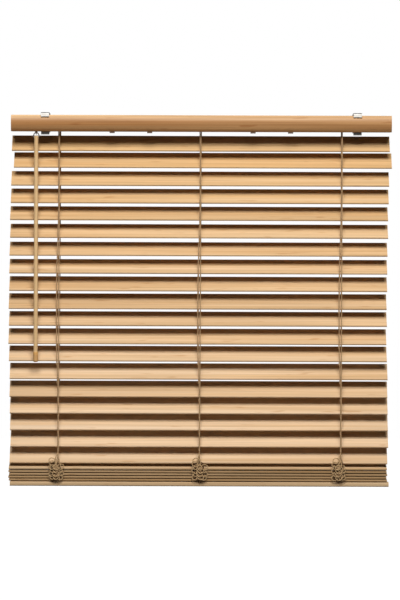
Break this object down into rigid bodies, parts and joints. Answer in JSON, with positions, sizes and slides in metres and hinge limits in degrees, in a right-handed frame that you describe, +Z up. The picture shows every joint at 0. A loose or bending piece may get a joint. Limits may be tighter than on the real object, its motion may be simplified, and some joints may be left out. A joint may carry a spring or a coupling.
{
  "type": "bamboo venetian blind",
  "caption": "Bamboo venetian blind with tilted slats on cord ladders, a bowed valance over the headrail, a hooked tilt wand and the lowest slats gathered on the bottom rail.",
  "frame": {"origin": "middle of the line between the two bracket screw holes, on the brackets' top plane", "axes": "+X along the slats to the viewer's right, -Y to the room and viewer, +Z up"},
  "size_m": [0.6018, 0.0567, 0.5862],
  "materials": {
    "bamboo_slat": "clear satin lacquer over pale bamboo strips",
    "bamboo_valance": "clear satin lacquer over warm bamboo",
    "bamboo_rail": "clear satin lacquer over bamboo",
    "wand_wood": "satin lacquer",
    "headrail_enamel": "baked tan enamel",
    "bracket_steel": "zinc plated",
    "rod_steel": "drawn",
    "clip_plastic": "smoked",
    "tan_plastic": "moulded",
    "white_plastic": "moulded",
    "ladder_cord": "braided polyester",
    "lift_cord": "braided polyester"
  },
  "bodies": {
    "headrail": {"headrail": "headrail_enamel", "end_caps": "tan_plastic", "valance": "bamboo_valance", "brackets": "bracket_steel", "valance_clips": "clip_plastic", "tilter_housing": "white_plastic", "drum_cradles": "white_plastic", "spring_motor_case": "white_plastic", "lift_cords": "lift_cord", "rungs_01": "ladder_cord"},
    "tilt_rod": {"tilt_rod": "rod_steel", "ladder_drums": "white_plastic", "tilter_wheel": "white_plastic"},
    "tilter_stem": {"tilter_stem": "bracket_steel"},
    "wand_hook": {"wand_hook": "bracket_steel"},
    "wand": {"wand": "wand_wood"},
    "cord_spool": {"cord_spool": "white_plastic"},
    "bottom_rail": {"bottom_rail": "bamboo_rail", "stacked_slats": "bamboo_slat", "cord_bunches": "ladder_cord", "rail_plugs": "tan_plastic"},
    "ladder_front": {"ladder_front_cords": "ladder_cord"},
    "ladder_rear": {"ladder_rear_cords": "ladder_cord"},
    "slat_01": {"slat_01": "bamboo_slat"},
    "slat_02": {"slat_02": "bamboo_slat"},
    "rungs_02": {"rungs_02": "ladder_cord"},
    "slat_03": {"slat_03": "bamboo_slat"},
    "rungs_03": {"rungs_03": "ladder_cord"},
    "slat_04": {"slat_04": "bamboo_slat"},
    "rungs_04": {"rungs_04": "ladder_cord"},
    "slat_05": {"slat_05": "bamboo_slat"},
    "rungs_05": {"rungs_05": "ladder_cord"},
    "slat_06": {"slat_06": "bamboo_slat"},
    "rungs_06": {"rungs_06": "ladder_cord"},
    "slat_07": {"slat_07": "bamboo_slat"},
    "rungs_07": {"rungs_07": "ladder_cord"},
    "slat_08": {"slat_08": "bamboo_slat"},
    "rungs_08": {"rungs_08": "ladder_cord"},
    "slat_09": {"slat_09": "bamboo_slat"},
    "rungs_09": {"rungs_09": "ladder_cord"},
    "slat_10": {"slat_10": "bamboo_slat"},
    "rungs_10": {"rungs_10": "ladder_cord"},
    "slat_11": {"slat_11": "bamboo_slat"},
    "rungs_11": {"rungs_11": "ladder_cord"},
    "slat_12": {"slat_12": "bamboo_slat"},
    "rungs_12": {"rungs_12": "ladder_cord"},
    "slat_13": {"slat_13": "bamboo_slat"},
    "rungs_13": {"rungs_13": "ladder_cord"},
    "slat_14": {"slat_14": "bamboo_slat"},
    "rungs_14": {"rungs_14": "ladder_cord"},
    "slat_15": {"slat_15": "bamboo_slat"},
    "rungs_15": {"rungs_15": "ladder_cord"},
    "slat_16": {"slat_16": "bamboo_slat"},
    "rungs_16": {"rungs_16": "ladder_cord"},
    "slat_17": {"slat_17": "bamboo_slat"},
    "rungs_17": {"rungs_17": "ladder_cord"},
    "slat_18": {"slat_18": "bamboo_slat"},
    "rungs_18": {"rungs_18": "ladder_cord"},
    "slat_19": {"slat_19": "bamboo_slat"},
    "rungs_19": {"rungs_19": "ladder_cord"}
  },
  "joints": [
    {"name": "tilt", "type": "hinge", "parent": "headrail", "child": "tilt_rod", "pos_m": [0, 0, -0.0122], "axis": [1, 0, 0], "range_deg": [-180, 30], "deforming": ["rungs_01", "rungs_02", "rungs_03", "rungs_04", "rungs_05", "rungs_06", "rungs_07", "rungs_08", "rungs_09", "rungs_10", "rungs_11", "rungs_12", "rungs_13", "rungs_14", "rungs_15", "rungs_16", "rungs_17", "rungs_18", "rungs_19"]},
    {"name": "raise", "type": "slide", "parent": "headrail", "child": "bottom_rail", "axis": [0, 0, 1], "range_m": [0, 0.288], "deforming": ["lift_cords", "ladder_front_cords", "ladder_rear_cords"]},
    {"name": "stem_turn", "type": "hinge", "parent": "headrail", "child": "tilter_stem", "pos_m": [-0.259, -0.0215, -0.0323], "axis": [0, 0.5052, 0.863], "range_deg": [-2160, 360]},
    {"name": "hook_turn", "type": "hinge", "parent": "headrail", "child": "wand_hook", "pos_m": [-0.259, -0.0215, -0.0323], "axis": [0, 0, 1], "range_deg": [-2160, 360]},
    {"name": "wand_swing", "type": "hinge", "parent": "wand_hook", "child": "wand", "pos_m": [-0.259, -0.0215, -0.0389], "axis": [-1, 0, 0], "range_deg": [0, 75]},
    {"name": "spool_turn", "type": "hinge", "parent": "headrail", "child": "cord_spool", "pos_m": [0.141, 0, -0.02], "axis": [0, 0, 1], "range_deg": [0, 1660]},
    {"name": "slat_01_tilt", "type": "hinge", "parent": "headrail", "child": "slat_01", "pos_m": [0, 0, -0.0476], "axis": [1, 0, 0], "range_deg": [-95, 15.83]},
    {"name": "rungs_02_rise", "type": "slide", "parent": "headrail", "child": "rungs_02", "axis": [0, 0, 1], "range_m": [0, 0.016]},
    {"name": "slat_02_tilt", "type": "hinge", "parent": "rungs_02", "child": "slat_02", "pos_m": [0, 0, -0.074], "axis": [1, 0, 0], "range_deg": [-93, 15.5]},
    {"name": "rungs_03_rise", "type": "slide", "parent": "headrail", "child": "rungs_03", "axis": [0, 0, 1], "range_m": [0, 0.032]},
    {"name": "slat_03_tilt", "type": "hinge", "parent": "rungs_03", "child": "slat_03", "pos_m": [0, 0, -0.10292], "axis": [1, 0, 0], "range_deg": [-86, 14.33]},
    {"name": "rungs_04_rise", "type": "slide", "parent": "headrail", "child": "rungs_04", "axis": [0, 0, 1], "range_m": [0, 0.048]},
    {"name": "slat_04_tilt", "type": "hinge", "parent": "rungs_04", "child": "slat_04", "pos_m": [0, 0, -0.1304], "axis": [1, 0, 0], "range_deg": [-86, 14.33]},
    {"name": "rungs_05_rise", "type": "slide", "parent": "headrail", "child": "rungs_05", "axis": [0, 0, 1], "range_m": [0, 0.064]},
    {"name": "slat_05_tilt", "type": "hinge", "parent": "rungs_05", "child": "slat_05", "pos_m": [0, 0, -0.1577], "axis": [1, 0, 0], "range_deg": [-80, 13.33]},
    {"name": "rungs_06_rise", "type": "slide", "parent": "headrail", "child": "rungs_06", "axis": [0, 0, 1], "range_m": [0, 0.08]},
    {"name": "slat_06_tilt", "type": "hinge", "parent": "rungs_06", "child": "slat_06", "pos_m": [0, 0, -0.18548], "axis": [1, 0, 0], "range_deg": [-80, 13.33]},
    {"name": "rungs_07_rise", "type": "slide", "parent": "headrail", "child": "rungs_07", "axis": [0, 0, 1], "range_m": [0, 0.096]},
    {"name": "slat_07_tilt", "type": "hinge", "parent": "rungs_07", "child": "slat_07", "pos_m": [0, 0, -0.21362], "axis": [1, 0, 0], "range_deg": [-79, 13.17]},
    {"name": "rungs_08_rise", "type": "slide", "parent": "headrail", "child": "rungs_08", "axis": [0, 0, 1], "range_m": [0, 0.112]},
    {"name": "slat_08_tilt", "type": "hinge", "parent": "rungs_08", "child": "slat_08", "pos_m": [0, 0, -0.24122], "axis": [1, 0, 0], "range_deg": [-83, 13.83]},
    {"name": "rungs_09_rise", "type": "slide", "parent": "headrail", "child": "rungs_09", "axis": [0, 0, 1], "range_m": [0, 0.128]},
    {"name": "slat_09_tilt", "type": "hinge", "parent": "rungs_09", "child": "slat_09", "pos_m": [0, 0, -0.26852], "axis": [1, 0, 0], "range_deg": [-85, 14.17]},
    {"name": "rungs_10_rise", "type": "slide", "parent": "headrail", "child": "rungs_10", "axis": [0, 0, 1], "range_m": [0, 0.144]},
    {"name": "slat_10_tilt", "type": "hinge", "parent": "rungs_10", "child": "slat_10", "pos_m": [0, 0, -0.29612], "axis": [1, 0, 0], "range_deg": [-92, 15.33]},
    {"name": "rungs_11_rise", "type": "slide", "parent": "headrail", "child": "rungs_11", "axis": [0, 0, 1], "range_m": [0, 0.16]},
    {"name": "slat_11_tilt", "type": "hinge", "parent": "rungs_11", "child": "slat_11", "pos_m": [0, 0, -0.32348], "axis": [1, 0, 0], "range_deg": [-83, 13.83]},
    {"name": "rungs_12_rise", "type": "slide", "parent": "headrail", "child": "rungs_12", "axis": [0, 0, 1], "range_m": [0, 0.176]},
    {"name": "slat_12_tilt", "type": "hinge", "parent": "rungs_12", "child": "slat_12", "pos_m": [0, 0, -0.3512], "axis": [1, 0, 0], "range_deg": [-92, 15.33]},
    {"name": "rungs_13_rise", "type": "slide", "parent": "headrail", "child": "rungs_13", "axis": [0, 0, 1], "range_m": [0, 0.192]},
    {"name": "slat_13_tilt", "type": "hinge", "parent": "rungs_13", "child": "slat_13", "pos_m": [0, 0, -0.37838], "axis": [1, 0, 0], "range_deg": [-90, 15]},
    {"name": "rungs_14_rise", "type": "slide", "parent": "headrail", "child": "rungs_14", "axis": [0, 0, 1], "range_m": [0, 0.208]},
    {"name": "slat_14_tilt", "type": "hinge", "parent": "rungs_14", "child": "slat_14", "pos_m": [0, 0, -0.40616], "axis": [1, 0, 0], "range_deg": [-95, 15.83]},
    {"name": "rungs_15_rise", "type": "slide", "parent": "headrail", "child": "rungs_15", "axis": [0, 0, 1], "range_m": [0, 0.224]},
    {"name": "slat_15_tilt", "type": "hinge", "parent": "rungs_15", "child": "slat_15", "pos_m": [0, 0, -0.434], "axis": [1, 0, 0], "range_deg": [-96, 16]},
    {"name": "rungs_16_rise", "type": "slide", "parent": "headrail", "child": "rungs_16", "axis": [0, 0, 1], "range_m": [0, 0.24]},
    {"name": "slat_16_tilt", "type": "hinge", "parent": "rungs_16", "child": "slat_16", "pos_m": [0, 0, -0.4601], "axis": [1, 0, 0], "range_deg": [-96, 16]},
    {"name": "rungs_17_rise", "type": "slide", "parent": "headrail", "child": "rungs_17", "axis": [0, 0, 1], "range_m": [0, 0.256]},
    {"name": "slat_17_tilt", "type": "hinge", "parent": "rungs_17", "child": "slat_17", "pos_m": [0, 0, -0.4862], "axis": [1, 0, 0], "range_deg": [-98, 16.33]},
    {"name": "rungs_18_rise", "type": "slide", "parent": "headrail", "child": "rungs_18", "axis": [0, 0, 1], "range_m": [0, 0.272]},
    {"name": "slat_18_tilt", "type": "hinge", "parent": "rungs_18", "child": "slat_18", "pos_m": [0, 0, -0.5123], "axis": [1, 0, 0], "range_deg": [-97, 16.17]},
    {"name": "rungs_19_rise", "type": "slide", "parent": "headrail", "child": "rungs_19", "axis": [0, 0, 1], "range_m": [0, 0.288]},
    {"name": "slat_19_tilt", "type": "hinge", "parent": "rungs_19", "child": "slat_19", "pos_m": [0, 0, -0.5384], "axis": [1, 0, 0], "range_deg": [-93, 15.5]},
    {"name": "ladder_front_hang", "type": "hinge", "parent": "slat_01", "child": "ladder_front", "pos_m": [0, -0.01115, -0.05976], "axis": [1, 0, 0], "range_deg": [-15.83, 95]},
    {"name": "ladder_rear_hang", "type": "hinge", "parent": "slat_01", "child": "ladder_rear", "pos_m": [0, 0.01115, -0.03544], "axis": [1, 0, 0], "range_deg": [-15.83, 95]}
  ],
  "couplings": [
    {"joint": "stem_turn", "follows": "tilt", "ratio": 12},
    {"joint": "hook_turn", "follows": "tilt", "ratio": 12},
    {"joint": "spool_turn", "follows": "raise", "rad_per_m": 100},
    {"joint": "slat_01_tilt", "follows": "tilt", "ratio": 0.52778},
    {"joint": "rungs_02_rise", "follows": "raise", "ratio": 0.055556},
    {"joint": "slat_02_tilt", "follows": "tilt", "ratio": 0.51667},
    {"joint": "rungs_03_rise", "follows": "raise", "ratio": 0.11111},
    {"joint": "slat_03_tilt", "follows": "tilt", "ratio": 0.47778},
    {"joint": "rungs_04_rise", "follows": "raise", "ratio": 0.16667},
    {"joint": "slat_04_tilt", "follows": "tilt", "ratio": 0.47778},
    {"joint": "rungs_05_rise", "follows": "raise", "ratio": 0.22222},
    {"joint": "slat_05_tilt", "follows": "tilt", "ratio": 0.44444},
    {"joint": "rungs_06_rise", "follows": "raise", "ratio": 0.27778},
    {"joint": "slat_06_tilt", "follows": "tilt", "ratio": 0.44444},
    {"joint": "rungs_07_rise", "follows": "raise", "ratio": 0.33333},
    {"joint": "slat_07_tilt", "follows": "tilt", "ratio": 0.43889},
    {"joint": "rungs_08_rise", "follows": "raise", "ratio": 0.38889},
    {"joint": "slat_08_tilt", "follows": "tilt", "ratio": 0.46111},
    {"joint": "rungs_09_rise", "follows": "raise", "ratio": 0.44444},
    {"joint": "slat_09_tilt", "follows": "tilt", "ratio": 0.47222},
    {"joint": "rungs_10_rise", "follows": "raise", "ratio": 0.5},
    {"joint": "slat_10_tilt", "follows": "tilt", "ratio": 0.51111},
    {"joint": "rungs_11_rise", "follows": "raise", "ratio": 0.55556},
    {"joint": "slat_11_tilt", "follows": "tilt", "ratio": 0.46111},
    {"joint": "rungs_12_rise", "follows": "raise", "ratio": 0.61111},
    {"joint": "slat_12_tilt", "follows": "tilt", "ratio": 0.51111},
    {"joint": "rungs_13_rise", "follows": "raise", "ratio": 0.66667},
    {"joint": "slat_13_tilt", "follows": "tilt", "ratio": 0.5},
    {"joint": "rungs_14_rise", "follows": "raise", "ratio": 0.72222},
    {"joint": "slat_14_tilt", "follows": "tilt", "ratio": 0.52778},
    {"joint": "rungs_15_rise", "follows": "raise", "ratio": 0.77778},
    {"joint": "slat_15_tilt", "follows": "tilt", "ratio": 0.53333},
    {"joint": "rungs_16_rise", "follows": "raise", "ratio": 0.83333},
    {"joint": "slat_16_tilt", "follows": "tilt", "ratio": 0.53333},
    {"joint": "rungs_17_rise", "follows": "raise", "ratio": 0.88889},
    {"joint": "slat_17_tilt", "follows": "tilt", "ratio": 0.54444},
    {"joint": "rungs_18_rise", "follows": "raise", "ratio": 0.94444},
    {"joint": "slat_18_tilt", "follows": "tilt", "ratio": 0.53889},
    {"joint": "rungs_19_rise", "follows": "raise", "ratio": 1},
    {"joint": "slat_19_tilt", "follows": "tilt", "ratio": 0.51667},
    {"joint": "ladder_front_hang", "follows": "tilt", "ratio": -0.52778},
    {"joint": "ladder_rear_hang", "follows": "tilt", "ratio": -0.52778}
  ]
}
